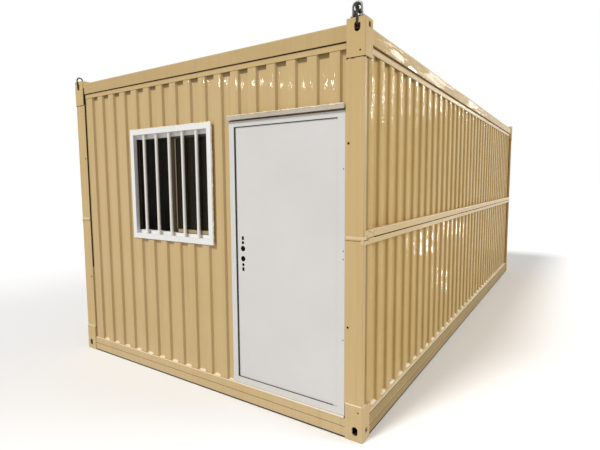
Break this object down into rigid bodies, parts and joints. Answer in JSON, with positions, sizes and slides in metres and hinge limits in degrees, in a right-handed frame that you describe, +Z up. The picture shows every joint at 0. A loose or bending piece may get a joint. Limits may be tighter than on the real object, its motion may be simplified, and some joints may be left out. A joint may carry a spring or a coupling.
{
  "type": "shipping container cabin",
  "caption": "Folding steel container cabin with corrugated walls, corner castings, a barred window box and one hinged door in the end wall.",
  "frame": {"origin": "centre of the footprint on the ground", "axes": "+Z up, +Y along the length away from the door end, +X to the right seen from the door end"},
  "size_m": [2.9, 6.0123, 2.5943],
  "materials": {
    "tan_paint": "glossy tan container paint with runs, dust and small chips",
    "white_paint": "satin white paint",
    "lining_board": "matt off-white board",
    "floor_board": "sealed floor board",
    "window_glass": "clear float glass",
    "bronze_aluminium": "bronze anodised",
    "galvanised_steel": "weathered galvanised",
    "hinge_steel": "zinc plated"
  },
  "bodies": {
    "cabin": {"base_front_rail": "tan_paint", "base_left_rail": "tan_paint", "base_rear_rail": "tan_paint", "base_right_rail": "tan_paint", "bottom_casting_front_left": "tan_paint", "bottom_casting_front_right": "tan_paint", "bottom_casting_rear_left": "tan_paint", "bottom_casting_rear_right": "tan_paint", "ceiling_panel": "lining_board", "door_frame": "white_paint", "door_hinge_pins": "hinge_steel", "door_hood": "white_paint", "end_linings": "lining_board", "floor_joists": "tan_paint", "floor_panel": "floor_board", "front_wall_left": "tan_paint", "front_wall_over_door": "tan_paint", "front_wall_over_window": "tan_paint", "front_wall_pier": "tan_paint", "front_wall_under_window": "tan_paint", "left_wall_lower": "tan_paint", "left_wall_upper": "tan_paint", "lifting_links": "galvanised_steel", "lifting_shackle": "galvanised_steel", "mid_rails_left": "tan_paint", "mid_rails_right": "tan_paint", "post_front_left": "tan_paint", "post_front_right": "tan_paint", "post_rear_left": "tan_paint", "post_rear_right": "tan_paint", "rear_wall": "tan_paint", "right_wall_lower": "tan_paint", "right_wall_upper": "tan_paint", "roof_front_rail": "tan_paint", "roof_left_rail": "tan_paint", "roof_rear_rail": "tan_paint", "roof_right_rail": "tan_paint", "roof_sheet": "tan_paint", "side_linings": "lining_board", "top_casting_front_left": "tan_paint", "top_casting_front_right": "tan_paint", "top_casting_rear_left": "tan_paint", "top_casting_rear_right": "tan_paint", "wall_top_angles": "tan_paint", "window_frame": "white_paint", "window_glass": "window_glass", "window_sashes": "bronze_aluminium", "window_tracks": "white_paint"},
    "door": {"door_leaf": "white_paint", "door_hinge_knuckles": "hinge_steel"}
  },
  "joints": [
    {"name": "door_hinge", "type": "hinge", "parent": "cabin", "child": "door", "pos_m": [1.28, -2.93, 1.072], "axis": [0, 0, -1], "range_deg": [0, 90]}
  ]
}
